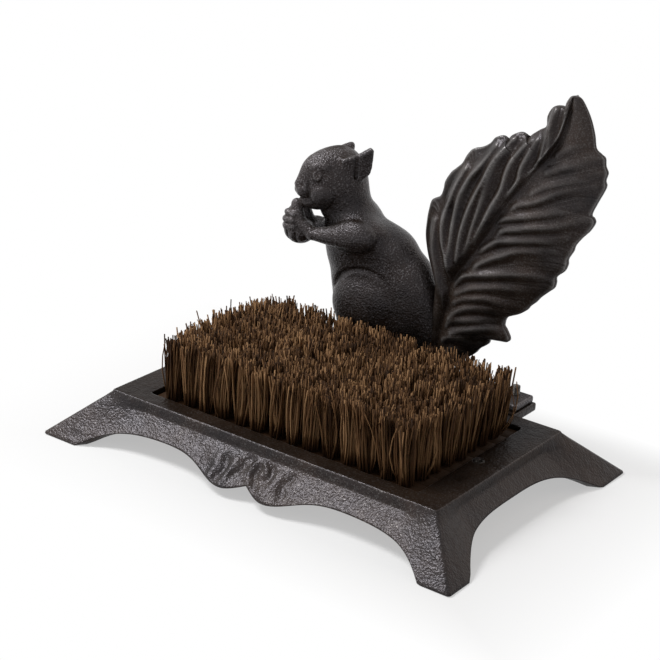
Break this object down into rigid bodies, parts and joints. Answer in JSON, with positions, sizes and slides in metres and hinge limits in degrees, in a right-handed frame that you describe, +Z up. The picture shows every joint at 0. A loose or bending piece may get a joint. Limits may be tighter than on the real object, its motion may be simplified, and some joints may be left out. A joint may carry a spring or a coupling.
{
  "type": "boot scraper",
  "caption": "Cast iron boot scraper: a stiff coir brush in a tray on splayed legs, with a seated squirrel holding a nut behind the brush.",
  "frame": {"origin": "on the floor under the centre of the tray, midway between the feet", "axes": "+X to the right along the front edge, +Y from the front to the figure at the rear, +Z up"},
  "size_m": [0.324, 0.214, 0.249],
  "materials": {
    "iron": "dark brown-black sand casting with a soft sheen",
    "tail_iron": "dark brown-black casting, smoother than the body",
    "steel": "dull plated steel",
    "wood": "plain sawn wood",
    "coir": "stiff natural fibre, lighter at the tips"
  },
  "bodies": {
    "root": {"tray_frame": "iron", "squirrel_figure": "iron", "squirrel_tail": "tail_iron", "tail_pin": "steel", "figure_screws": "steel", "figure_washers": "steel", "brush_board": "wood", "brush_screws": "steel", "bristle_row_1": "coir", "bristle_row_2": "coir", "bristle_row_3": "coir", "bristle_row_4": "coir", "bristle_row_5": "coir", "bristle_row_6": "coir", "bristle_row_7": "coir", "bristle_row_8": "coir", "bristle_row_9": "coir"}
  },
  "joints": []
}
